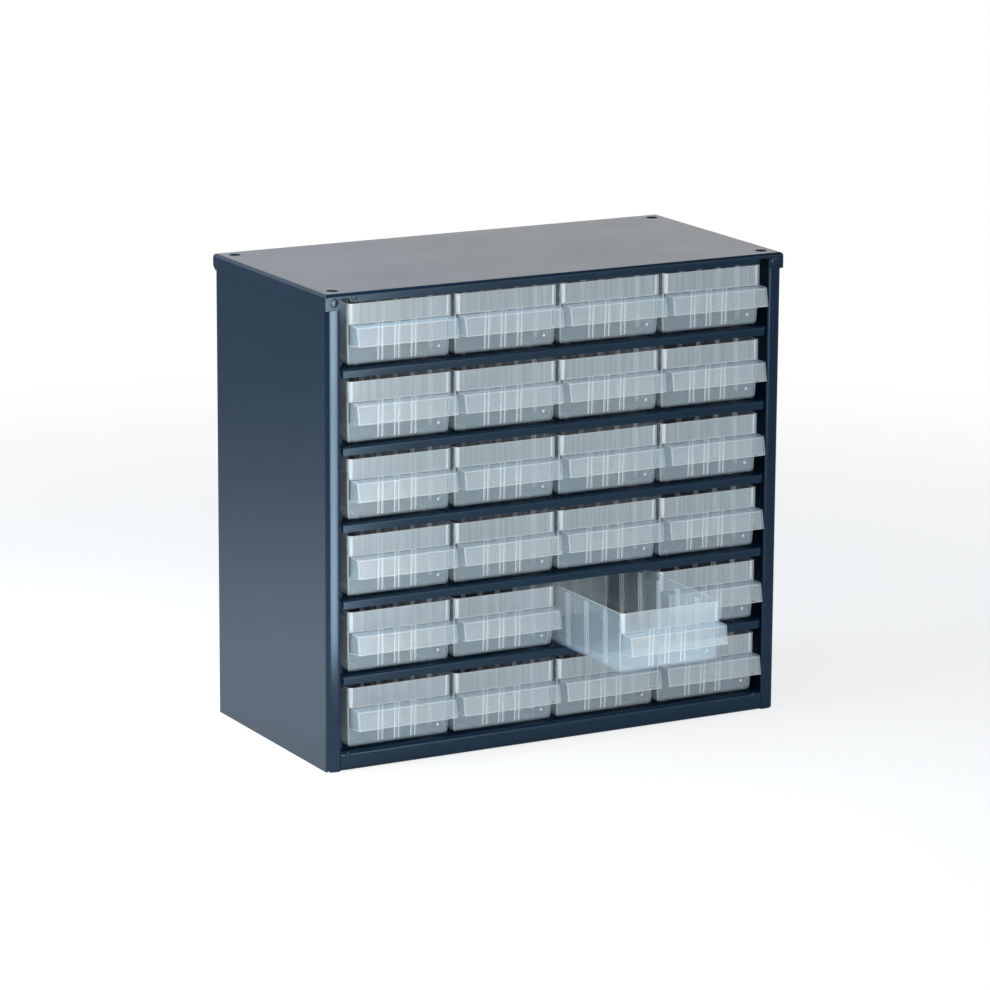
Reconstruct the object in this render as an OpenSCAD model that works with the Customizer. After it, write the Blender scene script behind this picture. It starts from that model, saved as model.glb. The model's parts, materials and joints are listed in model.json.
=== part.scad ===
// Small-parts cabinet: a folded sheet-steel case with shelves and moulded drawers.
// Millimetres, +Z up, X across the front; the drawers open towards -Y.
// Origin: the middle of the case's footprint, on the surface that it stands on.

/* [Sheet steel] */
// Thickness of the sheet
sheet_t = 0.8; // [0.6:0.1:1.2]
// Inside radius of an ordinary fold
fold_r = 0.8; // [0.5:0.1:1.2]
// Inside radius of the large fold along the front of the base
base_fold_r = 1.9; // [1:0.1:3]
// Inside radius of the folds round the top cover
cover_fold_r = 1.2; // [0.8:0.1:1.3]
// Segments in the outline of a fold
fold_steps = 5; // [3:1:8]

/* [Drawers] */
// Width of a drawer at its rim
drawer_w = 68; // [60:0.5:80]
// Length of a drawer behind its handle
drawer_len = 133; // [115:1:150]
// Height of a drawer from its glides to its rim
drawer_h = 37.4; // [34:0.2:44]
// Draft of each side wall, from the rim to the floor
side_draft = 1.4; // [0.5:0.1:2]
// Draft of the front and back walls below the step
end_draft = 0.8; // [0.3:0.1:1.2]
// Wall thickness of a drawer
wall_t = 1.3; // [1:0.1:1.8]
// How far the front wall steps back below the handle's roof
front_step = 2.4; // [1:0.1:3]
// Radius of the upright corners
corner_r = 3.5; // [2:0.5:5]
// Radius between the floor and the walls
floor_r = 3; // [2:0.5:4]
// Height of the two glides under the floor
glide_h = 0.8; // [0.5:0.1:1.2]
// Width of a glide
glide_w = 2; // [1.5:0.5:4]
// Distance between the two glides
glide_gap = 44; // [20:1:48]
// Distance from a drawer's ends to its glides
glide_inset = 12; // [6:1:20]

/* [Handle] */
// Width of the handle
handle_w = 64.8; // [58:0.2:65.4]
// Height of the handle's roof above the glides
roof_h = 25.4; // [22:0.1:29]
// Height of the handle's lower front edge above the glides
lip_edge_h = 14; // [13:0.1:16]
// Height at which the handle's ends run into the front wall
cheek_h = 12.5; // [9:0.1:13]
// Reach of the handle at its roof
roof_reach = 8.6; // [6:0.1:10]
// Reach of the handle at its lower edge, where it leans out
lip_reach = 10.8; // [10:0.1:13]
// Wall thickness of the handle
handle_t = 1.2; // [1:0.1:1.6]
// Radius of the handle's top front edge
handle_r = 1; // [0.5:0.1:1.2]

/* [Divider slots] */
// Distance between neighbouring slots in the front and back walls
end_slot_pitch = 10.8; // [8:0.2:14]
// Distance between neighbouring slots in the side walls
side_slot_pitch = 22.2; // [18:0.2:25]
// Slots in each side wall
side_slots = 5; // [3:1:5]
// Distance between the middles of a slot's two ribs
rib_pair = 2.6; // [2:0.1:3.4]
// Width of a rib
rib_w = 0.8; // [0.6:0.1:1]
// Height of a rib above its wall
rib_out = 0.9; // [0.6:0.1:1.2]
// Distance from the rim to the tops of the side walls' ribs
rib_drop = 3; // [2:0.5:10]

/* [Drawer stops] */
// Distance of the stop tabs from the front of the drawer
stop_at = 106; // [80:1:110]
// Length of a stop tab
stop_len = 9; // [6:1:14]
// How far a stop tab reaches up behind the lip above it
stop_bite = 1.5; // [1:0.1:2]

/* [Clearances] */
// Gap between a glide and the shelf that it runs on
run_gap = 0.3; // [0.2:0.05:0.5]
// Gap between the rims of two neighbouring drawers
column_gap = 1.6; // [1:0.1:4]
// Gap between a rim and the shelf lip above it
rim_gap = 2.35; // [1.8:0.05:3.5]
// Gap between the top row's rims and the top rail
top_rim_gap = 0.95; // [0.6:0.05:2]
// Gap that a stop keeps to what it meets
stop_gap = 0.3; // [0.2:0.05:0.5]
// Gap between the flush part of a shelf's lip and the side flanges
lip_end_gap = 2; // [0.5:0.1:4]
// Width of the joggled ends of the base's front, where it is welded to the side flanges
joggle_w = 4; // [2:0.1:6]
// Depth of the joggle in the base's front
joggle = 0.2; // [0.1:0.05:0.5]

/* [Case] */
// Rows of drawers
rows = 6; // [2:1:6]
// Columns of drawers
cols = 4; // [2:1:4]
// Distance from the outer guides to the side panels' outer faces
side_room = 13; // [12:0.5:20]
// Distance from the drawers' backs to the back panel's outer face
back_room = 15.4; // [10:0.2:30]
// Width of a side panel's front flange
flange_w = 8.9; // [7:0.1:10]
// Width of the doubled edge of a front flange
hem_w = 6; // [4:0.5:6]
// Width of a side panel's back flange
back_flange_w = 12; // [8:1:16]
// Height of the base panel's upper face
base_h = 11.4; // [9:0.2:16]
// Width of the base panel's folded-in feet
foot_w = 10; // [6:1:20]
// Height of a shelf's front lip
lip_h = 5.4; // [4.5:0.1:7]
// Height of a shelf's back stop flange
back_stop_h = 5; // [3:0.5:8]
// How far the shelf lips stand back from the front flanges
lip_setback = 0.4; // [0:0.1:1]
// Depth of a stop bead on the base
stop_bead_w = 3; // [2:0.5:5]
// Length of a stop bead on the base
stop_bead_len = 24; // [10:1:40]
// Width of the cut on a front flange's lower corner
flange_cut = 2.4; // [1:0.2:3]
// Height of the cut on a front flange's lower corner
flange_cut_h = 1.4; // [0.6:0.2:3]

/* [Drawer guides] */
// Width of a pressed guide at its foot
guide_w = 3.4; // [2.4:0.2:4]
// Width of a pressed guide at its top
guide_top_w = 1.8; // [1.2:0.2:2.2]
// Height of a pressed guide
guide_h = 3.2; // [2:0.2:4]
// Length of a pressed guide
guide_len = 96; // [60:1:110]
// Distance from the front flanges to a guide
guide_start = 9; // [6:1:20]

/* [Top cover] */
// Height of the cover's side and back flanges
cover_flange_h = 9.6; // [6:0.2:14]
// Height of the cover's band across the front
cover_band_h = 2.9; // [2.4:0.1:4]
// Size of the cut on the lower back corners of its flanges
cover_cut = 2.5; // [1:0.5:4]
// Radius of the holes for stacking bolts
stack_hole_r = 3.5; // [2.5:0.25:4]
// Distance of the stacking holes from the cover's sides
stack_inset_x = 9.5; // [8.5:0.5:14]
// Distance of the stacking holes from the cover's front and back
stack_inset_y = 10.5; // [8.5:0.5:16]

/* [Top rail] */
// Drop of the rail's lip below the top of the cover
rail_drop = 5.7; // [4.5:0.1:8]
// Depth of the rail's flange under the cover
rail_flange = 13; // [8:1:20]
// Distance from the rail's ends to the side flanges
rail_end_gap = 5.7; // [3:0.1:12]
// Size of the cut on the rail's lower corners
rail_cut = 1.8; // [0.5:0.1:2]

/* [Wall fixing] */
// Distance between the two keyholes in the back panel
keyhole_pitch = 200; // [80:5:230]
// Distance of the keyholes from the top of the back panel
keyhole_drop = 32; // [20:1:60]
// Radius of a keyhole's round opening
keyhole_r = 4.5; // [3:0.25:6]
// Half width of a keyhole's slot
keyhole_slot_r = 2.25; // [1.5:0.25:2.75]
// Rise of a keyhole's slot
keyhole_rise = 8; // [6:0.5:12]

/* [Pose] */
// How far the open drawer is pulled out
open_pull = 74.5; // [0:0.5:104]

/* [Hidden] */
$fn = 48;
eps = 0.01;                 // overshoot of a cutting tool
reach = 10;                 // how far a long cutting tool runs past the solid
corner_steps = 4;           // segments in an outline's round corner on a drawer
col_pitch = drawer_w + column_gap;
row_pitch = run_gap + drawer_h + rim_gap + lip_h;
case_w = cols * col_pitch + 2 * side_room;
case_d = drawer_len + back_room;
case_h = base_h + (rows - 1) * row_pitch + run_gap + drawer_h + top_rim_gap + rail_drop;
cover_w = case_w + 2 * sheet_t;
cover_d = case_d + 2 * sheet_t;
front_y = -case_d / 2;
back_y = case_d / 2;
inner_x = case_w / 2 - sheet_t;                    // inner face of a side panel
flange_x = case_w / 2 - flange_w;                  // inner edge of a front flange
side_top = case_h - sheet_t - cover_fold_r;        // top edge of the side and back panels
shelf_front = front_y + lip_setback;
shelf_back = front_y + drawer_len + stop_gap;      // front face of the back stop flange
hem_y = front_y + 2 * sheet_t;                     // back face of a front flange's doubled edge
tuck_y = front_y + sheet_t + max(base_fold_r, sheet_t);   // front of what stands behind the flanges
lip_x = flange_x - lip_end_gap;                    // end of the flush part of a lip
base_x = flange_x - joggle_w;                      // end of the flush part of the base's front
plate_back = shelf_back - fold_r;                  // where a shelf's back edge starts to turn up
rail_x = flange_x - rail_end_gap;
rail_y = front_y + sheet_t;                        // back face of the rail's lip
stop_tab_h = rim_gap + stop_bite;
travel = stop_at - lip_setback - sheet_t - stop_gap;
half_rim = drawer_w / 2;
half_floor = half_rim - side_draft;
tray_h = drawer_h - glide_h;                       // rim above the underside of the floor
roof_z = roof_h - glide_h;                         // handle's roof above the underside of the floor

open_drawer = [5, 3];                              // row from the top, column from the left
function drawer_name(r, c) = str("drawer_r", r, "c", c);
function shelf_name(k) = str("shelf_", k);

function floor_z(row) = base_h + (rows - row) * row_pitch;       // surface that a row runs on
function column_x(c) = (c - (cols + 1) / 2) * col_pitch;

// ---- outlines ----

function unit(v) = v / norm(v);
function cross2(a, b) = a[0] * b[1] - a[1] * b[0];

// Points of the arc that rounds the corner p1 between p0 and p2; one point where r is 0
function corner_points(p0, p1, p2, r, steps) =
    r <= 0 ? [p1] :
    let (
        a = unit(p0 - p1),
        b = unit(p2 - p1),
        half = acos(a * b) / 2,
        centre = p1 + unit(a + b) * r / sin(half),
        turn = cross2(a, b) > 0 ? -1 : 1,
        from = p1 + a * r / tan(half) - centre,
        sweep = turn * (180 - 2 * half)
    )
    [for (i = [0:steps])
        let (w = sweep * i / steps)
        centre + [from[0] * cos(w) - from[1] * sin(w), from[0] * sin(w) + from[1] * cos(w)]];

// Closed outline with a radius at each corner
function rounded(points, radii, steps) =
    let (n = len(points))
    [for (i = [0:n - 1])
        each corner_points(points[(i + n - 1) % n], points[i], points[(i + 1) % n], radii[i], steps)];

// Upright rectangle with the radii of its corners, from the lower left one anticlockwise
module rounded_rect(x0, y0, x1, y1, radii, steps = fold_steps) {
    polygon(rounded([[x0, y0], [x1, y0], [x1, y1], [x0, y1]], radii, steps));
}

// Runs an outline drawn in X and Z along Y
module along_y(y0, y1) {
    translate([0, y1, 0]) rotate([90, 0, 0]) linear_extrude(y1 - y0) children();
}

// Runs an outline drawn in Y and Z along X
module along_x(x0, x1) {
    translate([x0, 0, 0]) rotate([90, 0, 90]) linear_extrude(x1 - x0) children();
}

module block(x0, x1, y0, y1, z0, z1) {
    translate([x0, y0, z0]) cube([x1 - x0, y1 - y0, z1 - z0]);
}

module mirrored_x() {
    children();
    mirror([1, 0, 0]) children();
}

// ---- top cover ----

// Box with a folded edge all round its top, smaller by in on every side but its open bottom
module cover_body(in) {
    top = case_h - in;
    low = case_h - cover_flange_h - (in > 0 ? reach : 0);
    r = cover_fold_r + sheet_t - in;
    w = cover_w / 2 - in;
    d = cover_d / 2 - in;
    intersection() {
        along_y(-d, d) rounded_rect(-w, low, w, top, [0, 0, r, r]);
        along_x(-w, w) rounded_rect(-d, low, d, top, [0, 0, r, r]);
    }
}

module top_cover() {
    hole_x = cover_w / 2 - stack_inset_x;
    hole_y = cover_d / 2 - stack_inset_y;
    low = case_h - cover_flange_h;
    color([0.16, 0.22, 0.31]) difference() {
        cover_body(0);
        cover_body(sheet_t);
        // the front flange is cut away to a band between the side flanges
        block(-flange_x, flange_x, -cover_d / 2 - eps, front_y + eps, low - eps, case_h - cover_band_h);
        for (sx = [-1, 1]) for (sy = [-1, 1])
            translate([sx * hole_x, sy * hole_y, case_h - reach]) cylinder(r = stack_hole_r, h = 2 * reach);
        // the side flanges' lower corners are cut off at the back
        mirrored_x() along_x(inner_x, cover_w / 2 + eps)
            polygon([[cover_d / 2 + eps, low - eps], [cover_d / 2 + eps, low + cover_cut],
                     [cover_d / 2 - cover_cut, low - eps]]);
    }
}

// ---- side panels ----

// Plan of a fold whose outer corner is at the origin: a flange along -X and a wall along +Y
module fold_plan(flange, wall, r) {
    difference() {
        rounded_rect(-flange, 0, 0, wall, [0, r + sheet_t, 0, 0]);
        rounded_rect(-flange - eps, sheet_t, -sheet_t, wall + eps, [0, r, 0, 0]);
    }
}

// Plan of the right side panel: the wall, the front flange with its doubled edge and the back flange
module side_plan() {
    edge_r = sheet_t - eps;
    translate([case_w / 2, front_y]) fold_plan(flange_w - sheet_t, case_d / 2, base_fold_r);
    translate([case_w / 2, back_y - sheet_t]) mirror([0, 1]) fold_plan(back_flange_w, case_d / 2, fold_r);
    rounded_rect(flange_x, front_y, flange_x + hem_w, hem_y, [edge_r, 0, 0, edge_r]);
}

module side_panel() {
    x1 = case_w / 2;
    difference() {
        linear_extrude(side_top) side_plan();
        along_y(front_y - eps, hem_y)
            polygon([[x1 - flange_cut, -eps], [x1 + eps, -eps], [x1 + eps, flange_cut_h]]);
    }
}

module left_side_panel() {
    color([0.17, 0.24, 0.34]) mirror([1, 0, 0]) side_panel();
}

module right_side_panel() {
    color([0.17, 0.24, 0.34]) side_panel();
}

// ---- shelves and base ----

// Raised guide between two columns, and its hollow underside when in is the sheet's thickness
module guide(in) {
    foot = guide_w / 2 - in;
    top = guide_top_w / 2 * foot / (guide_w / 2);
    low = in > 0 ? -sheet_t - eps : -sheet_t / 2;
    along_y(guide_start + in, guide_start + guide_len - in)
        polygon([[-foot, low], [foot, low], [foot, 0], [top, guide_h - in], [-top, guide_h - in], [-foot, 0]]);
}

module guides(in) {
    for (c = [0:cols]) translate([(c - cols / 2) * col_pitch, front_y, 0]) guide(in);
}

// Body of a pressing, or its inside when in is the sheet's thickness. Its upper face is at z = 0.
// Each step is [half width, front]: the front stands further back towards the ends.
module pressing(steps, back, bottom, in, fold, bottom_fold) {
    for (s = steps)
        along_x(-s[0] + in, s[0] - in) rounded_rect(s[1] + in, bottom, back, -in, [bottom_fold, 0, 0, fold]);
}

// Back edge of a shelf, turned up to stop the drawers
module back_stop_plan() {
    y = shelf_back + sheet_t;
    polygon(rounded([[plate_back - eps, -sheet_t], [y, -sheet_t], [y, back_stop_h],
                     [shelf_back, back_stop_h], [shelf_back, 0], [plate_back - eps, 0]],
                    [0, fold_r + sheet_t, 0, 0, fold_r, 0], fold_steps));
}

// Shelf with a lip in front, down-turned sides, an upturned back and the guides of the row above it
module shelf() {
    steps = [[lip_x, shelf_front], [inner_x, tuck_y]];
    difference() {
        union() {
            pressing(steps, plate_back, -lip_h, 0, fold_r + sheet_t, 0);
            along_x(-inner_x, inner_x) back_stop_plan();
            guides(0);
        }
        pressing(steps, plate_back + eps, -lip_h - eps, sheet_t, fold_r, 0);
        guides(sheet_t);
    }
}

module shelf_at(k) {
    color([0.13, 0.19, 0.29]) translate([0, 0, floor_z(k)]) shelf();
}

// Floor of the case: a tray with its open side down and folded-in feet all round
module base_panel() {
    back = back_y - 2 * sheet_t - fold_r;
    steps = [[base_x, front_y], [flange_x, front_y + joggle], [inner_x, tuck_y]];
    color([0.15, 0.21, 0.31]) translate([0, 0, base_h]) difference() {
        union() {
            pressing(steps, back, -base_h, 0, base_fold_r + sheet_t, fold_r + sheet_t);
            guides(0);
            for (c = [1:cols]) translate([column_x(c), shelf_back, 0]) stop_bead();
        }
        pressing(steps, back - sheet_t, -base_h + sheet_t, sheet_t, base_fold_r, fold_r);
        guides(sheet_t);
        block(-inner_x + foot_w, inner_x - foot_w, tuck_y + foot_w, back - foot_w,
              -base_h - eps, -base_h + sheet_t + eps);
    }
}

// Pressed bead behind a drawer of the lowest row
module stop_bead() {
    half = stop_bead_len / 2;
    along_x(-half, half)
        polygon([[0, -sheet_t / 2], [0, guide_h], [stop_bead_w / 2, guide_h], [stop_bead_w, -sheet_t / 2]]);
}

// ---- back panel and top rail ----

module keyhole() {
    circle(keyhole_r);
    translate([0, keyhole_rise]) circle(keyhole_slot_r);
    translate([-keyhole_slot_r, 0]) square([2 * keyhole_slot_r, keyhole_rise]);
}

module back_panel() {
    half_w = case_w / 2 - fold_r - sheet_t;
    color([0.13, 0.18, 0.27]) along_y(back_y - sheet_t, back_y) difference() {
        translate([-half_w, 0]) square([2 * half_w, side_top]);
        for (sx = [-1, 1]) translate([sx * keyhole_pitch / 2, side_top - keyhole_drop]) keyhole();
    }
}

module top_rail() {
    top = case_h - sheet_t;
    low = case_h - rail_drop;
    color([0.17, 0.24, 0.34]) intersection() {
        along_x(-rail_x, rail_x) difference() {
            rounded_rect(front_y, low, rail_y + rail_flange, top, [0, 0, 0, fold_r + sheet_t]);
            rounded_rect(rail_y, low - eps, rail_y + rail_flange + eps, top - sheet_t, [0, 0, 0, fold_r]);
        }
        along_y(front_y - eps, rail_y + rail_flange + eps)
            polygon([[-rail_x + rail_cut, low], [rail_x - rail_cut, low], [rail_x, low + rail_cut],
                     [rail_x, top], [-rail_x, top], [-rail_x, low + rail_cut]]);
    }
}

// ---- drawers ----
// Drawn with the rim's front at y = 0 and the underside of the floor at z = 0

// Half width of the outside of the side walls at a height
function half_at(z) = half_floor + side_draft * z / tray_h;
// Front face of the wall below the step, and back face of the back wall, at a height
function front_at(z) = front_step + end_draft * (1 - z / roof_z);
function back_at(z) = drawer_len - end_draft * (1 - z / tray_h);
// Front face of the handle at a height: it leans out downwards
function lean_at(z) = -roof_reach - (lip_reach - roof_reach) * (roof_z - z) / (roof_h - lip_edge_h);

// The drawer's outside, or its inside when in is the wall's thickness
module tray_form(in) {
    top = tray_h + (in > 0 ? reach : 0);
    foot = half_at(in) - in;
    rim = half_at(top) - in;
    r = floor_r - in;
    upright_r = corner_r - in;
    intersection() {
        along_y(-eps, drawer_len + eps)
            polygon(rounded([[-foot, in], [foot, in], [rim, top], [-rim, top]], [r, r, 0, 0], corner_steps));
        along_x(-half_rim, half_rim)
            polygon(rounded([[front_at(in) + in, in], [back_at(in) - in, in], [back_at(top) - in, top],
                             [in, top], [in, roof_z], [front_step + in, roof_z]],
                            [r, r, 0, 0, 0, 0], corner_steps));
        linear_extrude(top) rounded_rect(-half_rim + in, in, half_rim - in, drawer_len - in,
                                         [for (i = [1:4]) upright_r], corner_steps);
    }
}

// Hollow handle across the front, open below, with a cheek at each end
module handle() {
    root = front_step + wall_t / 2;
    edge = lip_edge_h - glide_h;
    low = edge - reach;
    difference() {
        along_x(-handle_w / 2, handle_w / 2)
            polygon(rounded([[root, cheek_h - glide_h], [root, roof_z], [-roof_reach, roof_z], [lean_at(edge), edge]],
                            [0, 0, handle_r, 0], corner_steps));
        along_x(-handle_w / 2 + handle_t, handle_w / 2 - handle_t)
            polygon([[root + eps, low], [root + eps, roof_z - handle_t],
                     [lean_at(roof_z - handle_t) + handle_t, roof_z - handle_t], [lean_at(low) + handle_t, low]]);
    }
}

// Pair of ribs that hold a divider, standing along the Y axis on a wall at y = 0
module rib_pair_plan(foot) {
    for (s = [-1, 1]) translate([s * rib_pair / 2 - rib_w / 2, -foot]) square([rib_w, rib_out + foot]);
}

// The drawer's slots for dividers: low ribs in pairs on the front, back and side walls
module divider_ribs() {
    foot = wall_t / 2;
    intersection() {
        tray_form(foot);
        rib_walls(foot);
    }
}

module rib_walls(foot) {
    for (k = [-1:1]) translate([k * end_slot_pitch, 0, foot]) {
        translate([0, front_at(0) + wall_t, 0]) rotate([atan(end_draft / roof_z), 0, 0])
            linear_extrude(roof_z - wall_t) rib_pair_plan(foot);
        translate([0, back_at(0) - wall_t, 0]) mirror([0, 1, 0]) rotate([atan(end_draft / tray_h), 0, 0])
            linear_extrude(roof_z - wall_t) rib_pair_plan(foot);
    }
    for (i = [1:side_slots]) translate([0, i * side_slot_pitch, 0]) mirrored_x()
        translate([half_at(0) - wall_t, 0, foot]) rotate([0, atan(side_draft / tray_h), 90])
            linear_extrude(tray_h - rib_drop - foot) rib_pair_plan(foot);
}

// Tabs that stand up from the side walls, flush with them inside and out
module stop_tabs() {
    z0 = tray_h - wall_t;
    z1 = tray_h + stop_tab_h;
    x0 = half_at(z0);
    x1 = half_at(z1);
    mirrored_x() intersection() {
        along_x(0, x1)
            polygon([[stop_at, z0], [stop_at + stop_len, z0], [stop_at + stop_len / 2, z1], [stop_at, z1]]);
        along_y(stop_at - eps, stop_at + stop_len + eps)
            polygon([[x0 - wall_t, z0], [x0, z0], [x1, z1], [x1 - wall_t, z1]]);
    }
}

module glides() {
    z1 = wall_t / 2;
    for (s = [-1, 1]) block(s * glide_gap / 2 - glide_w / 2, s * glide_gap / 2 + glide_w / 2,
                            glide_inset, drawer_len - glide_inset, -glide_h, z1);
}

module drawer() {
    difference() {
        union() {
            tray_form(0);
            handle();
        }
        tray_form(wall_t);
    }
    divider_ribs();
    stop_tabs();
    glides();
}

module drawer_at(r, c) {
    pull = [r, c] == open_drawer ? open_pull : 0;
    color([0.78, 0.86, 0.9, 0.6])
        translate([column_x(c), front_y - pull, floor_z(r) + run_gap + glide_h]) drawer();
}

top_cover();
left_side_panel();
right_side_panel();
base_panel();
back_panel();
top_rail();
for (k = [1:rows - 1])
    shelf_at(k);
for (r = [1:rows]) for (c = [1:cols])
    drawer_at(r, c);
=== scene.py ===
import json
import math

import bmesh
import bpy
from bpy.props import FloatProperty, FloatVectorProperty, IntProperty, PointerProperty
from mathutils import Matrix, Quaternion, Vector
from mathutils.bvhtree import BVHTree


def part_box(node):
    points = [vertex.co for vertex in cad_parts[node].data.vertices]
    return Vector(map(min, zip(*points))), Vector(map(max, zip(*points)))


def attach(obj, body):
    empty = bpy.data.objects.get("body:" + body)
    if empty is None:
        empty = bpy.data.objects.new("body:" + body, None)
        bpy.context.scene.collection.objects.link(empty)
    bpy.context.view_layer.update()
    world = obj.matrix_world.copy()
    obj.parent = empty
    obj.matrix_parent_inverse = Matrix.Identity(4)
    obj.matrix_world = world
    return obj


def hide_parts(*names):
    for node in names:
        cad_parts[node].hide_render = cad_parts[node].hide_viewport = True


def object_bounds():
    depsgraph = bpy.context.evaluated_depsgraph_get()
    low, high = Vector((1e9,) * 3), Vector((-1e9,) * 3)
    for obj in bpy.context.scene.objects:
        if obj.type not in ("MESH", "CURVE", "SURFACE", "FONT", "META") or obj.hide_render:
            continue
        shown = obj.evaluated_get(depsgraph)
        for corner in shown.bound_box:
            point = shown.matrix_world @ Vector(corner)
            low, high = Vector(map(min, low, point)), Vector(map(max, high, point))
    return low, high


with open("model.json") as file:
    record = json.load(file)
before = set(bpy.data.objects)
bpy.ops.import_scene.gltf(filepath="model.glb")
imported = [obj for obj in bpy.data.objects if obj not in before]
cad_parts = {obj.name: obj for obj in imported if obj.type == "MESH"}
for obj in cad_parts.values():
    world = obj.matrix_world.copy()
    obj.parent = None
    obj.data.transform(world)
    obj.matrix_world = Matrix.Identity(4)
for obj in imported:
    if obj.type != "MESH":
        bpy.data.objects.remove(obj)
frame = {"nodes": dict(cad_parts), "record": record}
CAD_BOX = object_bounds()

bl_info = {
    "name": "Small Parts Cabinet",
    "version": (1, 0, 0),
    "blender": (4, 5, 0),
    "location": "View3D > Sidebar > Cabinet",
    "description": "Enamelled sheet-steel cabinet with frosted drawers, on a studio floor",
    "category": "Object",
}

BODIES = frame["record"]["behaviour"]["bodies"]
CASE = "case"
PANELS = BODIES[CASE]
DRAWERS = [body for body in BODIES if body != CASE]
COVER_LOW, COVER_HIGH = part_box("top_cover")
BASE_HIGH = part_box("base_panel")[1]
SIDE_LOW, SIDE_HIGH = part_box("right_side_panel")
RAIL_LOW, RAIL_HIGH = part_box("top_rail")
CASE_CENTRE = Vector((0, 0, COVER_HIGH.z / 2))

JOIN_DISTANCE = 0.00004                   # corners nearer than this are one
FLAT_ANGLE = math.radians(1)              # faces that turn less than this are one
SHARP_ANGLE = math.radians(28)            # edges that turn more than this are rounded
SMOOTH_ANGLE = math.radians(40)           # edges that turn less than this are shaded smooth
FLANGE_DEPTH = 0.0004                     # what lies within this of the front is the flange's face
CROWN_FROM = SIDE_LOW.x + 0.0007          # the flange's swell starts just past its inner edge
CROWN_TO = SIDE_HIGH.x - 0.0027           # and ends before its outer bend
CROWN_STRIPS = 6                          # strips that make up the swell
SHEET_SEGMENTS = 2                        # segments in the rounding of a sheet's edge
BASE_MARK_X = 0.0019                      # from a flange's inner edge inwards to the mark on the base
RAIL_MARK_X = 0.0035                      # from the rail's end inwards to the mark on the rail
RAIL_MARK_LENGTH = 0.3                    # that mark's length, as a share of a weld's
LUG_MARK_X = 0.0070                       # from a flange's inner edge to the mark on the cover's lug
LUG_MARK_DROP = 0.0050                    # from the cover's top to that mark's middle
LUG_MARK_LENGTH = 0.7                     # its length and width, as shares of a weld's
LUG_MARK_WIDTH = 1.4
FACING = 0.5                              # a face looks along an axis if its normal's part is over this
SQUARE_FACING = 0.9                       # and squarely so if it is over this
HANDLE_DEPTH = 0.0045                     # from the handle's lower edge to its front's upper edge
FRONT_DEPTH = 0.0150                      # from the handle's lower edge to the front wall's outer face
BACK_DEPTH = 0.0040                       # from the drawer's back to before its back wall
HANDLE_ROOF = 0.0256                      # from the drawer's bottom to its wall over the handle
GATE_X = 0.0262                           # from the drawer's middle to the gate's mark
GATE_HEIGHT = 0.0074                      # from the drawer's bottom to that mark
GATE_FLATNESS = 0.3                       # its painted highlight and opacity, as a share of a rib's
GATE_HIGHLIGHT = 0.6                      # how bright it is, where a rib is 1
RIB_DEPTH = 0.0200                        # from the handle's lower edge to behind the front wall's ribs
RIB_SIZE = 0.0013                         # ribs are narrower than this

ROUGHNESS_SPREAD = 0.04                   # how far the roughness strays to either side
ENAMEL_MOTTLE = 0.05                      # size of the enamel's slow unevenness
DEEP_SHARE = 0.85                         # brightness of its darker places, as a share
EDGE_HIGHLIGHT_SHARE = 0.6                          # how far a rounded edge's colour nears the painted edge highlight
PLASTIC_MOTTLE = 0.06                     # size of the plastic's slow unevenness
PLASTIC_RIPPLE = {"Size": 0.012, "Height": 0.000012}
# the warm tint is random tone in places, and painted warm light over the wall above the handle
WARM_SHARE = 0.4                          # how far the plastic's colour nears the warm one at most
STREAK_STRETCH = (1.0, 0.0, 0.01)         # streaks change across a wall, and hardly at all up it
STREAK_SPREAD = 0.3                       # how far they change the opacity to either side, as a share
POOL_CORE = 0.35                          # share of the floor's pool that hasn't begun to fade
FLOOR_DROP = 0.0002                       # between the floor and the cabinet's resting face
CEILING_FROM = 0.35                       # upward part of a mirrored ray where the dark ceiling starts
CEILING_TO = 0.6                          # and where it is darkest
CLIP_RATIO = 100                          # camera's distance over its near limit, and far limit over it
LAMPS = {                                 # each lamp's place, size, target and spread in degrees
    "Overhead Lamp": (Vector((-0.42, 0.05, 0.72)), (0.4, 0.4), Vector((-0.42, 0.05, 0)), 120),
    "Key Lamp": (Vector((-0.35, -0.70, 0.48)), (0.35, 0.35), CASE_CENTRE, 120),
    "Front Lamp": (Vector((0.10, -1.05, 0.20)), (0.5, 0.3), CASE_CENTRE, 120),
    "Strip Lamp": (Vector((-0.080, -0.30, 0.14)), (0.07, 0.26),
                   Vector((-SIDE_HIGH.x, SIDE_LOW.y, 0.20)), 30),
}


# ---- settings ----

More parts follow.
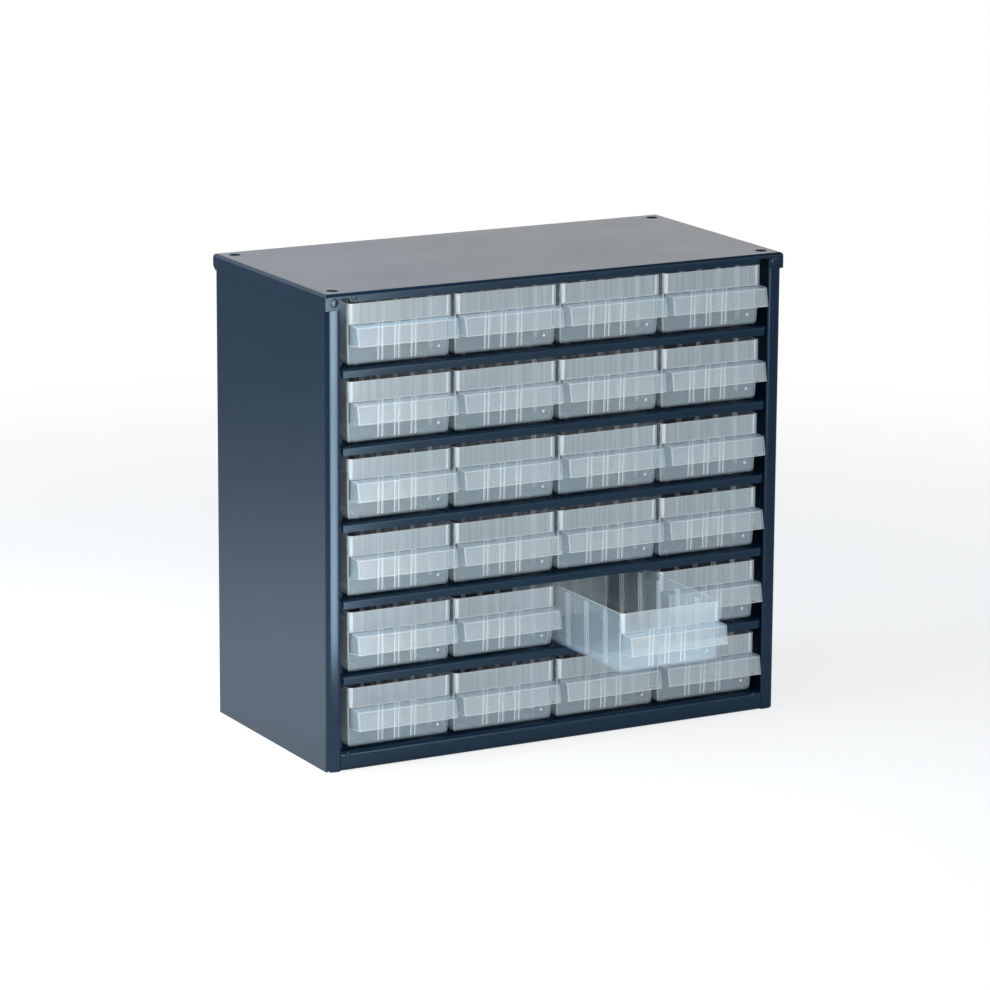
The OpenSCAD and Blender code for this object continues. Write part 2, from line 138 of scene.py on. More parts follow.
class EnamelSettings(bpy.types.PropertyGroup):
    """Sizes and colours of the painted steel."""

    colour: FloatVectorProperty(
        name="Enamel", description="Colour of the enamel", subtype="COLOR", size=3,
        min=0, max=1, default=(0.004, 0.016, 0.036))
    # lighter colour of the rounded edges: a painted highlight, where the enamel also thins
    edge_highlight_colour: FloatVectorProperty(
        name="Edge Highlight", description="Painted highlight on the rounded edges, where the enamel thins",
        subtype="COLOR", size=3, min=0, max=1, default=(0.020, 0.050, 0.090))
    gloss_colour: FloatVectorProperty(
        name="Gloss Colour", description="Tint of what the enamel mirrors when seen face-on",
        subtype="COLOR", size=3, min=0, max=1, default=(0.60, 0.82, 1.0))
    roughness: FloatProperty(
        name="Roughness", description="Roughness of the enamel", min=0, max=1, default=0.24,
        subtype="FACTOR")
    peel_size: FloatProperty(
        name="Peel Size", description="Distance between the ripples in the enamel",
        min=0.0002, default=0.0016, unit="LENGTH")
    peel_height: FloatProperty(
        name="Peel Height", description="Height of the ripples in the enamel",
        min=0, default=0.000006, unit="LENGTH")
    edge_radius: FloatProperty(
        name="Edge Radius", description="Rounding of the sheet's sharp edges",
        min=0.00005, default=0.00018, unit="LENGTH")
    crown: FloatProperty(
        name="Flange Crown", description="How far the folded front flanges swell at their middle",
        min=0, default=0.0003, unit="LENGTH")
    weld_length: FloatProperty(
        name="Weld Length", description="Length of a spot weld's mark", min=0.001, default=0.0076,
        unit="LENGTH")
    weld_width: FloatProperty(
        name="Weld Width", description="Width of a spot weld's mark", min=0.001, default=0.0036,
        unit="LENGTH")
    weld_height: FloatProperty(
        name="Weld Height", description="How far a weld's mark stands out", min=0.0001,
        default=0.00035, unit="LENGTH")


class PlasticSettings(bpy.types.PropertyGroup):
    """Sizes and colours of the moulded drawers."""

    colour: FloatVectorProperty(
        name="Plastic", description="Colour of the plastic", subtype="COLOR", size=3,
        min=0, max=1, default=(0.56, 0.74, 0.86))
    # warm tint: random tone where the mottle is high, and painted warm light over the wall above the
    # handle
    warm_tone_and_light: FloatVectorProperty(
        name="Warm Plastic", description="Warm tint: random in places, painted warm light above the handle",
        subtype="COLOR", size=3, min=0, max=1, default=(0.80, 0.80, 0.78))
    opacity: FloatProperty(
        name="Opacity", description="Opacity of one face of a wall", min=0, max=1, default=0.06,
        subtype="FACTOR")
    grazing_opacity: FloatProperty(
        name="Grazing Opacity", description="Opacity of a wall that is seen nearly edge-on",
        min=0, max=1, default=0.6, subtype="FACTOR")
    front_opacity: FloatProperty(
        name="Front Opacity", min=0, max=1, default=0.26, subtype="FACTOR",
        description="Opacity of the front's outer face below the handle and of the back wall")
    handle_opacity: FloatProperty(
        name="Handle Opacity", description="Opacity of the handle's outer faces",
        min=0, max=1, default=0.27, subtype="FACTOR")
    upper_opacity: FloatProperty(
        name="Upper Opacity", description="Opacity of the front's outer face above the handle",
        min=0, max=1, default=0.44, subtype="FACTOR")
    shadow_opacity: FloatProperty(
        name="Shadow Opacity", description="How much light one face of a wall keeps out of the drawer",
        min=0, max=1, default=0.05, subtype="FACTOR")
    # the handle's share of the painted highlight colour
    handle_highlight: FloatProperty(
        name="Handle Highlight", description="How near the handle's colour comes to the painted highlight",
        min=0, max=1, default=0.5, subtype="FACTOR")
    # pale colour painted on the rounded edges, ribs, gate marks and handle as a highlight
    painted_highlight_colour: FloatVectorProperty(
        name="Painted Highlight", description="Painted highlight on the edges, ribs, gate marks and handle",
        subtype="COLOR", size=3, min=0, max=1, default=(0.92, 0.94, 0.95))
    edge_opacity: FloatProperty(
        name="Edge Opacity", description="Opacity of the rounded edges, which gather light",
        min=0, max=1, default=0.4, subtype="FACTOR")
    rib_opacity: FloatProperty(
        name="Rib Opacity", description="Opacity of the ribs inside the front wall",
        min=0, max=1, default=0.75, subtype="FACTOR")
    roughness: FloatProperty(
        name="Roughness", description="Roughness of the plastic", min=0, max=1, default=0.22,
        subtype="FACTOR")
    streak_size: FloatProperty(
        name="Streak Size", description="Width of the upright flow streaks", min=0.0002, default=0.0018,
        unit="LENGTH")
    edge_radius: FloatProperty(
        name="Edge Radius", description="Rounding of the moulding's edges", min=0.0001, default=0.0003,
        unit="LENGTH")
    edge_segments: IntProperty(
        name="Edge Segments", description="Segments in the rounding of an edge", min=1, max=4, default=2)
    gate_radius: FloatProperty(
        name="Gate Radius", description="Radius of the mark that the moulding gate left", min=0.0005,
        default=0.0009, unit="LENGTH")


class StageSettings(bpy.types.PropertyGroup):
    """Floor, lamps and camera."""

    floor_radius: FloatProperty(
        name="Floor Radius", description="Radius of the floor", min=1, default=9, unit="LENGTH")
    pool_radius: FloatProperty(
        name="Pool Radius", description="Distance at which the floor has faded to plain white",
        min=0.3, default=1.1, unit="LENGTH")
    floor_tone: FloatProperty(
        name="Floor Tone", description="Lightness of the floor", min=0, max=1, default=0.8,
        subtype="FACTOR")
    shadow_share: FloatProperty(
        name="Shadow Share", description="How much of the floor's shadow the camera sees",
        min=0, max=1, default=0.35, subtype="FACTOR")
    floor_lift: FloatProperty(
        name="Floor Lift", description="Light added to the floor where it is seen", min=0, max=1,
        default=0.3, subtype="FACTOR")
    floor_mirror: FloatProperty(
        name="Floor Mirror", description="How much of the floor's added light glossy surfaces mirror",
        min=0, max=1, default=0.05, subtype="FACTOR")
    ambient: FloatProperty(
        name="Ambient", description="Strength of the even light from all round", min=0, default=0.38)
    ceiling: FloatProperty(
        name="Ceiling", description="Brightness of the studio's ceiling in glossy surfaces",
        min=0, max=1, default=0.1)
    ambient_colour: FloatVectorProperty(
        name="Ambient Colour", description="Colour of the even light", subtype="COLOR", size=3,
        min=0, max=1, default=(0.66, 0.84, 1.0))
    overhead_power: FloatProperty(
        name="Overhead Power", description="Power of the lamp over the left side",
        min=0, default=3.9, unit="POWER")
    key_power: FloatProperty(
        name="Key Power", description="Power of the lamp in front on the left",
        min=0, default=0.85, unit="POWER")
    front_power: FloatProperty(
        name="Front Power", description="Power of the wide lamp in front that looks into the drawers",
        min=0, default=1.6, unit="POWER")
    strip_power: FloatProperty(
        name="Strip Power", description="Power of the upright lamp that faces the left flange",
        min=0, default=0.024, unit="POWER")
    key_colour: FloatVectorProperty(
        name="Key Colour", description="Colour of the key and front lamps", subtype="COLOR", size=3,
        min=0, max=1, default=(1.0, 0.94, 0.88))
    cool_colour: FloatVectorProperty(
        name="Cool Colour", description="Colour of the lamp over the left side", subtype="COLOR", size=3,
        min=0, max=1, default=(0.86, 0.94, 1.0))
    azimuth: FloatProperty(
        name="Azimuth", description="Camera's angle from the cabinet's front", subtype="ANGLE",
        default=math.radians(-28.577))
    elevation: FloatProperty(
        name="Elevation", description="Camera's angle above the floor", subtype="ANGLE",
        default=math.radians(13.283))
    roll: FloatProperty(
        name="Roll", description="Camera's turn about its own axis", subtype="ANGLE",
        default=math.radians(0.326))
    distance: FloatProperty(
        name="Distance", description="Camera's distance from the middle of the case",
        min=0.1, default=2.797, unit="LENGTH")
    aim_right: FloatProperty(
        name="Aim Right", description="How far right of the middle the camera aims", default=-0.0016,
        unit="LENGTH")
    aim_up: FloatProperty(
        name="Aim Up", description="How far above the middle the camera aims", default=-0.0069,
        unit="LENGTH")
    lens: FloatProperty(
        name="Lens", description="Focal length of the camera", min=10, default=168.5, unit="CAMERA")


# ---- mesh tools ----

def joined_copy(node):
    """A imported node's loose triangles as one closed mesh with whole flat faces."""
    bm = bmesh.new()
    bm.from_mesh(frame["nodes"][node].data)
    bmesh.ops.remove_doubles(bm, verts=bm.verts, dist=JOIN_DISTANCE)
    bmesh.ops.dissolve_degenerate(bm, edges=bm.edges, dist=JOIN_DISTANCE)
    bmesh.ops.dissolve_limit(bm, angle_limit=FLAT_ANGLE, verts=bm.verts, edges=bm.edges)
    bmesh.ops.connect_verts_concave(bm, faces=bm.faces)
    return bm


def round_edges(bm, radius, segments):
    """Rounds the sharp edges and marks the new faces with the attribute 'edge'."""
    edge_mark = bm.faces.layers.float.new("edge")
    sharp = [e for e in bm.edges if e.is_manifold and e.calc_face_angle() > SHARP_ANGLE]
    made = bmesh.ops.bevel(
        bm, geom=sharp, offset=radius, offset_type="OFFSET", segments=segments, affect="EDGES",
        profile=0.5, material=-1, clamp_overlap=False, loop_slide=False)
    for face in made["faces"]:
        face[edge_mark] = 1.0


def keep_inside(bm, box):
    """Brings the corners that a mitred bevel left outside a box back onto its faces."""
    low, high = box
    for vert in bm.verts:
        vert.co = [min(max(vert.co[axis], low[axis]), high[axis]) for axis in range(3)]


def finished_piece(bm, name, material, body):
    """Makes a smooth-shaded object of a bmesh that rides on a body."""
    mesh = bpy.data.meshes.new(name)
    bm.to_mesh(mesh)
    bm.free()
    mesh.shade_smooth()
    mesh.set_sharp_from_angle(angle=SMOOTH_ANGLE)
    mesh.materials.append(material)
    piece = bpy.data.objects.new(name, mesh)
    bpy.context.scene.collection.objects.link(piece)
    shading = piece.modifiers.new("Flat Faces Stay Flat", "WEIGHTED_NORMAL")
    shading.keep_sharp = True
    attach(piece, body)
    return piece


def crown_front(bm, swell, strips):
    """Swells a side panel's front flange a little between its two edges."""
    low, high = CROWN_FROM, CROWN_TO
    front = [f for f in bm.faces if f.calc_center_median().y < SIDE_LOW.y + FLANGE_DEPTH]
    for k in range(1, strips):
        for side in (-1, 1):
            geom = list({part for f in front if f.is_valid for part in (f, *f.edges, *f.verts)})
            cut = bmesh.ops.bisect_plane(
                bm, geom=geom, plane_no=(1, 0, 0),
                plane_co=(side * (low + (high - low) * k / strips), 0, 0))
            front += [part for part in cut["geom"] if isinstance(part, bmesh.types.BMFace)]
    for vert in bm.verts:
        across = 2 * (abs(vert.co.x) - low) / (high - low) - 1
        if vert.co.y < SIDE_LOW.y + JOIN_DISTANCE and abs(across) < 1:
            vert.co.y -= swell * (1 - across * across)


# ---- shader tools ----

def new_tree(owner):
    """The emptied node tree of a material or world."""
    owner.use_nodes = True
    owner.node_tree.nodes.clear()
    return owner.node_tree


def add_node(tree, kind, **values):
    node = tree.nodes.new(kind)
    for name, value in values.items():
        setattr(node, name, value)
    return node


def link(tree, source, target):
    tree.links.new(source, target)


def feed(tree, value, socket):
    """Feeds an input from another socket, a number or a colour."""
    if isinstance(value, bpy.types.NodeSocket):
        link(tree, value, socket)
    elif isinstance(value, (int, float)):
        socket.default_value = value
    else:
        socket.default_value = (*value, 1.0)


def mixed_colour(tree, factor, first, second):
    """A colour mix; each argument is a socket or a plain value."""
    mix = add_node(tree, "ShaderNodeMix", data_type="RGBA")
    for name, value in (("Factor", factor), ("A", first), ("B", second)):
        feed(tree, value, mix.inputs[name])
    return mix.outputs["Result"]


def mixed_shader(tree, factor, first, second):
    mix = add_node(tree, "ShaderNodeMixShader")
    for socket, source in zip(mix.inputs, (factor, first, second)):
        link(tree, source, socket)
    return mix.outputs[0]


def math_node(tree, operation, first, second):
    node = add_node(tree, "ShaderNodeMath", operation=operation)
    for socket, value in zip(node.inputs, (first, second)):
        feed(tree, value, socket)
    return node.outputs[0]


def largest(tree, first, *others):
    """The largest of several sockets' values."""
    for other in others:
        first = math_node(tree, "MAXIMUM", first, other)
    return first


def ranged(tree, value, low, high):
    """Maps a 0 to 1 socket to a range."""
    node = add_node(tree, "ShaderNodeMapRange")
    link(tree, value, node.inputs["Value"])
    node.inputs["To Min"].default_value = low
    node.inputs["To Max"].default_value = high
    return node.outputs["Result"]


def sized_noise(tree, size, detail):
    """Noise in object space; a socket gives the size of its features."""
    place = add_node(tree, "ShaderNodeTexCoord")
    noise = add_node(tree, "ShaderNodeTexNoise")
    noise.inputs["Detail"].default_value = detail
    link(tree, place.outputs["Object"], noise.inputs["Vector"])
    link(tree, math_node(tree, "DIVIDE", 1.0, size), noise.inputs["Scale"])
    return noise.outputs["Fac"]


def ripple_group():
    """Fine ripples of a moulded or sprayed surface, as a normal."""
    group = bpy.data.node_groups.new("Surface Ripple", "ShaderNodeTree")
    group.interface.new_socket("Size", in_out="INPUT", socket_type="NodeSocketFloat")
    group.interface.new_socket("Height", in_out="INPUT", socket_type="NodeSocketFloat")
    group.interface.new_socket("Normal", in_out="OUTPUT", socket_type="NodeSocketVector")
    inside = add_node(group, "NodeGroupInput")
    outside = add_node(group, "NodeGroupOutput")
    bump = add_node(group, "ShaderNodeBump")
    link(group, sized_noise(group, inside.outputs["Size"], 1.5), bump.inputs["Height"])
    link(group, inside.outputs["Height"], bump.inputs["Distance"])
    link(group, bump.outputs["Normal"], outside.inputs["Normal"])
    return group


def mottle_group():
    """Slow unevenness of a surface, as a mask from 0 to 1."""
    group = bpy.data.node_groups.new("Slow Mottle", "ShaderNodeTree")
    group.interface.new_socket("Size", in_out="INPUT", socket_type="NodeSocketFloat")
    group.interface.new_socket("Mask", in_out="OUTPUT", socket_type="NodeSocketFloat")
    inside = add_node(group, "NodeGroupInput")
    outside = add_node(group, "NodeGroupOutput")
    link(group, sized_noise(group, inside.outputs["Size"], 3.0), outside.inputs["Mask"])
    return group


def placed_group(tree, group, **values):
    node = add_node(tree, "ShaderNodeGroup", node_tree=group)
    for name, value in values.items():
        node.inputs[name].default_value = value
    return node.outputs[0]


def group_named(name, maker):
    return bpy.data.node_groups.get(name) or maker()


def face_mask(tree, name):
    """What round_edges, mark_walls or gate_mark wrote on the faces, as a mask."""
    return add_node(tree, "ShaderNodeAttribute", attribute_name=name).outputs["Fac"]


def new_surface(name):
    """A material with one principled surface, as material, tree and surface."""
    material = bpy.data.materials.new(name)
    tree = new_tree(material)
    surface = add_node(tree, "ShaderNodeBsdfPrincipled")
    output = add_node(tree, "ShaderNodeOutputMaterial")
    link(tree, surface.outputs["BSDF"], output.inputs["Surface"])
    return material, tree, surface


def uneven_roughness(tree, mottle, roughness):
    return ranged(tree, mottle, roughness - ROUGHNESS_SPREAD, roughness + ROUGHNESS_SPREAD)


# ---- materials ----

def enamel_material(settings):
    """Dark blue stoving enamel with a fine peel; painted highlight on its edges, where it also thins."""
    material, tree, surface = new_surface("Blue Enamel")
    surface.inputs["Specular Tint"].default_value = (*settings.gloss_colour, 1)
    mottle = placed_group(tree, group_named("Slow Mottle", mottle_group), Size=ENAMEL_MOTTLE)
    deep = [part * DEEP_SHARE for part in settings.colour]
    body_colour = mixed_colour(tree, mottle, deep, settings.colour)
    # rounded edges turn lighter: a painted highlight, with the enamel a little thinner there
    edge_highlight = math_node(tree, "MULTIPLY", face_mask(tree, "edge"), EDGE_HIGHLIGHT_SHARE)
    link(tree, mixed_colour(tree, edge_highlight, body_colour, settings.edge_highlight_colour), surface.inputs["Base Color"])
    link(tree, uneven_roughness(tree, mottle, settings.roughness), surface.inputs["Roughness"])
    ripple = placed_group(tree, group_named("Surface Ripple", ripple_group),
                          Size=settings.peel_size, Height=settings.peel_height)
    link(tree, ripple, surface.inputs["Normal"])
    return material


def streak_mask(tree, size):
    """Upright streaks that the plastic's flow left in a wall, as a mask."""
    place = add_node(tree, "ShaderNodeTexCoord")
    stretch = add_node(tree, "ShaderNodeMapping")
    stretch.inputs["Scale"].default_value = STREAK_STRETCH
    link(tree, place.outputs["Object"], stretch.inputs["Vector"])
    noise = add_node(tree, "ShaderNodeTexNoise")
    noise.inputs["Scale"].default_value = 1 / size
    noise.inputs["Detail"].default_value = 2.0
    link(tree, stretch.outputs["Vector"], noise.inputs["Vector"])
    return noise.outputs["Fac"]


def plastic_colour(tree, settings, masks, mottle):
    """Pale walls, warmer at random, with painted warm light above the handle and painted highlights."""
    # warmer at random where the mottle is high, and painted warm light over the whole wall above the
    # handle
    warmth = math_node(tree, "MULTIPLY", largest(tree, mottle, masks["upper"]), WARM_SHARE)
    wall_colour = mixed_colour(tree, warmth, settings.colour, settings.warm_tone_and_light)
    # painted highlight: edges, ribs and gate marks take the pale colour, the handle part of it
    handle = math_node(tree, "MULTIPLY", masks["handle"], settings.handle_highlight)
    painted_highlight = largest(tree, masks["edge"], masks["rib"], handle)
    return mixed_colour(tree, painted_highlight, wall_colour, settings.painted_highlight_colour)


def plastic_opacity(tree, settings, masks):
    """Opacity of each kind of face, or one low value for shadow rays."""
    slant = add_node(tree, "ShaderNodeLayerWeight")
    slant.inputs["Blend"].default_value = 0.5
    wall = ranged(tree, math_node(tree, "POWER", slant.outputs["Facing"], 2.0),
                  settings.opacity, settings.grazing_opacity)
    streaks = ranged(tree, streak_mask(tree, settings.streak_size),
                     settings.upper_opacity * (1 - STREAK_SPREAD),
                     settings.upper_opacity * (1 + STREAK_SPREAD))
    opacities = {
        "front": settings.front_opacity,
        "handle": settings.handle_opacity,
        "upper": streaks,
        "edge": settings.edge_opacity,
        "rib": settings.rib_opacity,
    }
    parts = [math_node(tree, "MULTIPLY", masks[name], value) for name, value in opacities.items()]
    path = add_node(tree, "ShaderNodeLightPath")
    mix = add_node(tree, "ShaderNodeMix", data_type="FLOAT")
    link(tree, path.outputs["Is Shadow Ray"], mix.inputs["Factor"])
    link(tree, largest(tree, wall, *parts), mix.inputs["A"])
    mix.inputs["B"].default_value = settings.shadow_opacity
    return mix.outputs["Result"]


def plastic_material(settings):
    """Frosted natural plastic, clearer in its flat walls than at its edges."""
    material, tree, surface = new_surface("Frosted Plastic")
    surface.inputs["IOR"].default_value = 1.49
    mottle = placed_group(tree, group_named("Slow Mottle", mottle_group), Size=PLASTIC_MOTTLE)
    masks = {name: face_mask(tree, name) for name in ("edge", "front", "handle", "upper", "rib")}
    link(tree, plastic_colour(tree, settings, masks, mottle), surface.inputs["Base Color"])
    link(tree, uneven_roughness(tree, mottle, settings.roughness), surface.inputs["Roughness"])
    link(tree, plastic_opacity(tree, settings, masks), surface.inputs["Alpha"])
    ripple = placed_group(tree, group_named("Surface Ripple", ripple_group), **PLASTIC_RIPPLE)
    link(tree, ripple, surface.inputs["Normal"])
    return material


def background_rays(tree, mirror_share):
    """1 for rays that show the background straight or refracted, and a share for mirrored ones."""
    path = add_node(tree, "ShaderNodeLightPath")
    mirrored = math_node(tree, "MULTIPLY", path.outputs["Is Glossy Ray"], mirror_share)
    return largest(tree, path.outputs["Is Camera Ray"], path.outputs["Is Transmission Ray"], mirrored)


def floor_fade(tree, settings):
    """How much of the floor's own shading is seen; none beyond the pool's radius."""
    place = add_node(tree, "ShaderNodeTexCoord")
    reach = add_node(tree, "ShaderNodeVectorMath", operation="LENGTH")
    link(tree, place.outputs["Object"], reach.inputs[0])
    fade = add_node(tree, "ShaderNodeMapRange", interpolation_type="SMOOTHSTEP")
    link(tree, reach.outputs["Value"], fade.inputs["Value"])
    fade.inputs["From Min"].default_value = settings.pool_radius * POOL_CORE
    fade.inputs["From Max"].default_value = settings.pool_radius
    fade.inputs["To Min"].default_value = settings.shadow_share
    fade.inputs["To Max"].default_value = 0
    return fade.outputs["Result"]


def floor_material(settings):
    """Pale floor that keeps its shadow near the cabinet and fades to white away from it."""
    material = bpy.data.materials.new("Pale Floor")
    tree = new_tree(material)
    matt = add_node(tree, "ShaderNodeBsdfDiffuse")
    tone = settings.floor_tone
    matt.inputs["Color"].default_value = (tone, tone, tone, 1)
    lift = add_node(tree, "ShaderNodeEmission")
    lift.inputs["Strength"].default_value = settings.floor_lift
    lifted = add_node(tree, "ShaderNodeAddShader")
    link(tree, matt.outputs[0], lifted.inputs[0])
    link(tree, lift.outputs[0], lifted.inputs[1])
    white = add_node(tree, "ShaderNodeEmission")
    seen = mixed_shader(tree, floor_fade(tree, settings), white.outputs[0], lifted.outputs[0])
    shown = mixed_shader(tree, background_rays(tree, settings.floor_mirror), matt.outputs[0], seen)
    output = add_node(tree, "ShaderNodeOutputMaterial")
    link(tree, shown, output.inputs["Surface"])
    return material


# ---- pieces ----

class CABINET_OT_case(bpy.types.Operator):
    """Dress the case's panels, rail and shelves in enamel"""

    bl_idname = "cabinet.case"
    bl_label = "Enamelled Case"

    def execute(self, context):
        settings = context.scene.cabinet_enamel
        material = enamel_material(settings)
        for node in PANELS:
            bm = joined_copy(node)
            if node.endswith("side_panel"):
                crown_front(bm, settings.crown, CROWN_STRIPS)
            round_edges(bm, settings.edge_radius, SHEET_SEGMENTS)
            keep_inside(bm, CAD_BOX)
            piece = finished_piece(bm, node + "_enamelled", material, CASE)
            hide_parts(node)
        return {"FINISHED"}


def weld_mark(place, length, width, height):
    """Low oval dome on a face that looks to the front; its length runs upright."""
    bm = bmesh.new()
    bmesh.ops.create_uvsphere(bm, u_segments=24, v_segments=12, radius=0.5)
    bmesh.ops.scale(bm, vec=(width, 2 * height, length), verts=bm.verts)
    bmesh.ops.translate(bm, vec=place, verts=bm.verts)
    return bm


class CABINET_OT_welds(bpy.types.Operator):
    """Add the spot welds' marks on the front of the case"""

    bl_idname = "cabinet.welds"
    bl_label = "Weld Marks"

    def execute(self, context):
        settings = context.scene.cabinet_enamel
        material = bpy.data.materials["Blue Enamel"]
        flange_edge = SIDE_LOW.x
        base_middle = BASE_HIGH.z / 2
        lug_middle = COVER_HIGH.z - LUG_MARK_DROP
        rail_middle = (RAIL_LOW.z + RAIL_HIGH.z) / 2
        length, width = settings.weld_length, settings.weld_width
        marks = {
            "base_weld": (flange_edge - BASE_MARK_X, SIDE_LOW.y, base_middle, length, width),
            "rail_weld": (RAIL_HIGH.x - RAIL_MARK_X, SIDE_LOW.y, rail_middle,
                          length * RAIL_MARK_LENGTH, width),
            "lug_weld": (flange_edge + LUG_MARK_X, COVER_LOW.y, lug_middle,
                         length * LUG_MARK_LENGTH, width * LUG_MARK_WIDTH),
        }
        for name, (x, y, z, up, across) in marks.items():
            for side, word in ((-1, "left"), (1, "right")):
                bm = weld_mark((side * x, y, z), up, across, settings.weld_height)
                finished_piece(bm, f"{name}_{word}", material, CASE)
        return {"FINISHED"}


def gate_mark(wall, low, middle_x, radius):
    """Low round mark at the lower right of a drawer's front wall."""
    place = Vector((middle_x + GATE_X, low.y, low.z + GATE_HEIGHT))
    place.y = BVHTree.FromBMesh(wall).ray_cast(place, Vector((0, 1, 0)))[0].y
    bm = bmesh.new()
    bmesh.ops.create_uvsphere(bm, u_segments=20, v_segments=10, radius=radius)
    bmesh.ops.scale(bm, vec=(1.0, GATE_FLATNESS, 1.0), verts=bm.verts)
    bmesh.ops.translate(bm, vec=place, verts=bm.verts)
    # the rib mark gives the gate's mark part of the ribs' painted highlight
    rib_mark = bm.faces.layers.float.new("rib")
    for face in bm.faces:
        face[rib_mark] = GATE_HIGHLIGHT
    return bm


def extent(face, axis):
    values = [vert.co[axis] for vert in face.verts]
    return max(values) - min(values)


def is_rib(face):
    """Whether a face is the edge or a flank of a narrow upright rib."""
    edge = face.normal.y > FACING and extent(face, 0) < RIB_SIZE
    flank = abs(face.normal.x) > SQUARE_FACING and extent(face, 1) < RIB_SIZE
    return extent(face, 2) > RIB_SIZE and (edge or flank)


def mark_walls(bm, low, high):
    """Marks the handle, the front wall's ribs, the front and back walls, and the wall over the handle."""
    front_mark = bm.faces.layers.float.new("front")
    handle_mark = bm.faces.layers.float.new("handle")
    upper_mark = bm.faces.layers.float.new("upper")
    rib_mark = bm.faces.layers.float.new("rib")
    for face in bm.faces:
        middle = face.calc_center_median()
        # ribs get the painted highlight colour and a high opacity
        if middle.y < low.y + RIB_DEPTH and is_rib(face):
            face[rib_mark] = 1.0
        if face.normal.y < -FACING and middle.y < low.y + HANDLE_DEPTH:
            face[handle_mark] = 1.0
        elif face.normal.y < -FACING and middle.y < low.y + FRONT_DEPTH:
            face[front_mark] = 1.0
            if middle.z > low.z + HANDLE_ROOF:
                face[upper_mark] = 1.0
        elif abs(face.normal.y) > FACING and middle.y > high.y - BACK_DEPTH:
            face[front_mark] = 1.0


class CABINET_OT_drawers(bpy.types.Operator):
    """Dress the drawers in frosted plastic with rounded edges"""

    bl_idname = "cabinet.drawers"
    bl_label = "Frosted Drawers"

    def execute(self, context):
        settings = context.scene.cabinet_plastic
        material = plastic_material(settings)
        for body in DRAWERS:
            for node in BODIES[body]:
                low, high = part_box(node)
                bm = joined_copy(node)
                mark_walls(bm, low, high)
                mark = gate_mark(bm, low, (low.x + high.x) / 2, settings.gate_radius)
                finished_piece(mark, node + "_gate_mark", material, body)
                round_edges(bm, settings.edge_radius, settings.edge_segments)
                piece = finished_piece(bm, node + "_moulding", material, body)
                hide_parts(node)
        return {"FINISHED"}


class CABINET_OT_stage(bpy.types.Operator):
    """Set the floor, the lamps, the background and the camera"""

    bl_idname = "cabinet.stage"
    bl_label = "Studio Stage"

    def execute(self, context):
        settings = context.scene.cabinet_stage
        make_floor(settings)
        make_world(settings)
        make_lamp("Overhead Lamp", settings.overhead_power, settings.cool_colour)
        make_lamp("Key Lamp", settings.key_power, settings.key_colour)
        make_lamp("Front Lamp", settings.front_power, settings.key_colour)
        make_lamp("Strip Lamp", settings.strip_power, (1, 1, 1))
        make_camera(settings)
        context.scene.view_settings.view_transform = "Standard"
        return {"FINISHED"}


def make_floor(settings):
    bm = bmesh.new()
    bmesh.ops.create_circle(bm, cap_ends=True, segments=96, radius=settings.floor_radius)
    bmesh.ops.translate(bm, vec=(0, 0, -FLOOR_DROP), verts=bm.verts)
    mesh = bpy.data.meshes.new("floor")
    bm.to_mesh(mesh)
    bm.free()
    mesh.materials.append(floor_material(settings))
    floor = bpy.data.objects.new("floor", mesh)
    bpy.context.scene.collection.objects.link(floor)


def make_world(settings):
    """White to the camera, and to gloss up to a dark ceiling; a plain even light to all else."""
    world = bpy.data.worlds.new("Studio")
    bpy.context.scene.world = world
    tree = new_tree(world)
    output = add_node(tree, "ShaderNodeOutputWorld")
    background = add_node(tree, "ShaderNodeBackground")
    path = add_node(tree, "ShaderNodeLightPath")
    seen = background_rays(tree, 1.0)
    place = add_node(tree, "ShaderNodeTexCoord")
    height = add_node(tree, "ShaderNodeSeparateXYZ")
    link(tree, place.outputs["Generated"], height.inputs[0])
    ceiling = add_node(tree, "ShaderNodeMapRange", interpolation_type="SMOOTHSTEP")
    link(tree, height.outputs["Z"], ceiling.inputs["Value"])
    ceiling.inputs["From Min"].default_value = CEILING_FROM
    ceiling.inputs["From Max"].default_value = CEILING_TO
    dimming = math_node(tree, "MULTIPLY", ceiling.outputs["Result"], path.outputs["Is Glossy Ray"])
    strength = math_node(tree, "SUBTRACT", ranged(tree, seen, settings.ambient, 1.0),
                         math_node(tree, "MULTIPLY", dimming, 1 - settings.ceiling))
    link(tree, strength, background.inputs["Strength"])
    link(tree, mixed_colour(tree, seen, settings.ambient_colour, (1, 1, 1)), background.inputs["Color"])
    link(tree, background.outputs[0], output.inputs["Surface"])


def make_lamp(name, power, colour):
    """Rectangular lamp that shines from its place at its target."""
    place, size, target, spread = LAMPS[name]
    lamp = bpy.data.lights.new(name, "AREA")
    lamp.shape = "RECTANGLE"
    lamp.size, lamp.size_y = size
    lamp.energy = power
    lamp.color = colour
    lamp.spread = math.radians(spread)
    holder = bpy.data.objects.new(name, lamp)
    holder.location = place
    holder.rotation_mode = "QUATERNION"
    holder.rotation_quaternion = (target - place).to_track_quat("-Z", "Y")
    bpy.context.scene.collection.objects.link(holder)


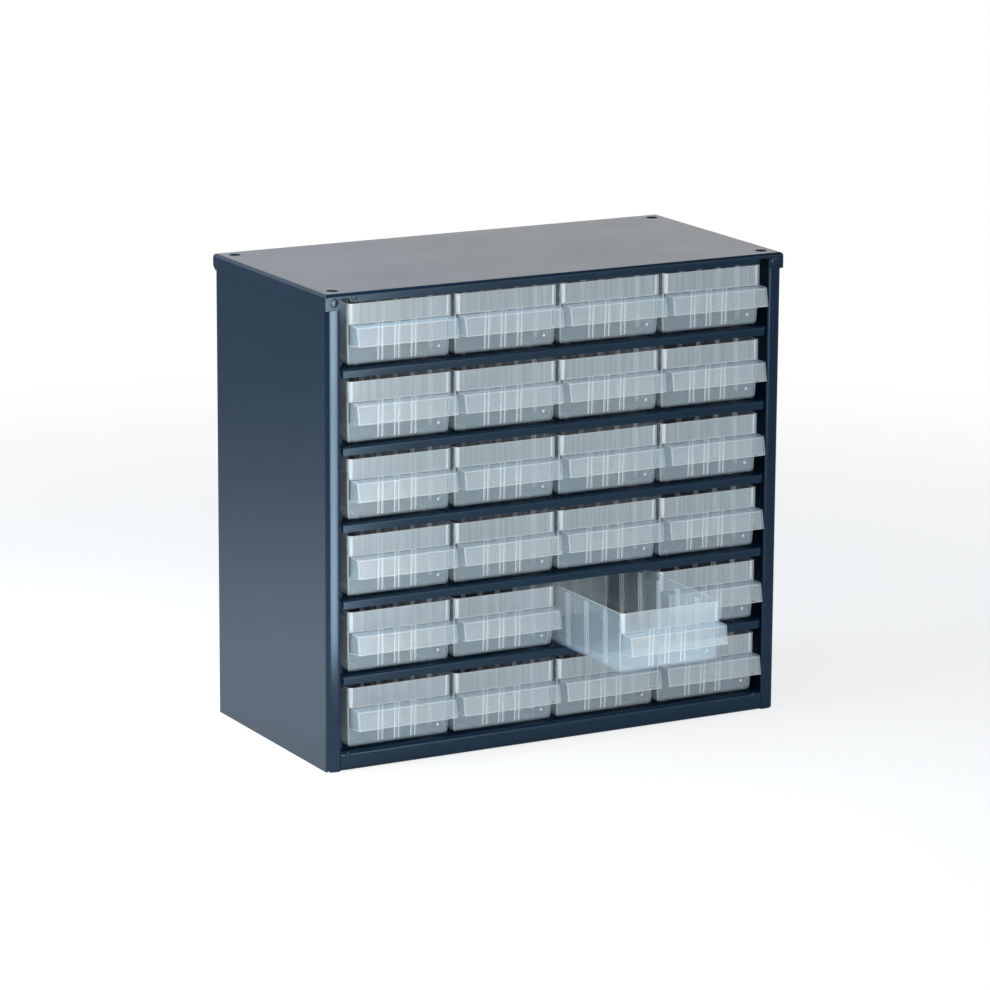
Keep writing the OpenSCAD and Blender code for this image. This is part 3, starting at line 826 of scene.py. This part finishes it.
def make_camera(settings):
    """Camera on a ray from the middle of the case, moved sideways by the aim."""
    a, e = settings.azimuth, settings.elevation
    back = Vector((math.sin(a) * math.cos(e), -math.cos(a) * math.cos(e), math.sin(e)))
    turn = (-back).to_track_quat("-Z", "Y") @ Quaternion((0, 0, 1), settings.roll)
    camera = bpy.data.cameras.new("Camera")
    camera.lens = settings.lens
    camera.clip_start = settings.distance / CLIP_RATIO
    camera.clip_end = settings.distance * CLIP_RATIO
    holder = bpy.data.objects.new("Camera", camera)
    holder.rotation_mode = "QUATERNION"
    holder.rotation_quaternion = turn
    aim = turn @ Vector((settings.aim_right, settings.aim_up, settings.distance))
    holder.location = CASE_CENTRE + aim
    bpy.context.scene.collection.objects.link(holder)
    bpy.context.scene.camera = holder


# ---- panel and registration ----

class CABINET_PT_sidebar(bpy.types.Panel):
    """Settings and steps of the cabinet"""

    bl_label = "Small Parts Cabinet"
    bl_space_type = "VIEW_3D"
    bl_region_type = "UI"
    bl_category = "Cabinet"

    def draw(self, context):
        for group in ("cabinet_enamel", "cabinet_plastic", "cabinet_stage"):
            settings = getattr(context.scene, group)
            box = self.layout.box()
            for name in settings.__annotations__:
                box.prop(settings, name)
        for operator in OPERATORS:
            self.layout.operator(operator.bl_idname)


OPERATORS = (CABINET_OT_case, CABINET_OT_welds, CABINET_OT_drawers, CABINET_OT_stage)
CLASSES = (EnamelSettings, PlasticSettings, StageSettings, *OPERATORS, CABINET_PT_sidebar)


def register():
    for cls in CLASSES:
        bpy.utils.register_class(cls)
    bpy.types.Scene.cabinet_enamel = PointerProperty(type=EnamelSettings)
    bpy.types.Scene.cabinet_plastic = PointerProperty(type=PlasticSettings)
    bpy.types.Scene.cabinet_stage = PointerProperty(type=StageSettings)


def unregister():
    del bpy.types.Scene.cabinet_stage
    del bpy.types.Scene.cabinet_plastic
    del bpy.types.Scene.cabinet_enamel
    for cls in reversed(CLASSES):
        bpy.utils.unregister_class(cls)


def main():
    register()
    bpy.ops.cabinet.case()
    bpy.ops.cabinet.welds()
    bpy.ops.cabinet.drawers()
    bpy.ops.cabinet.stage()


if __name__ == "__main__":
    main()
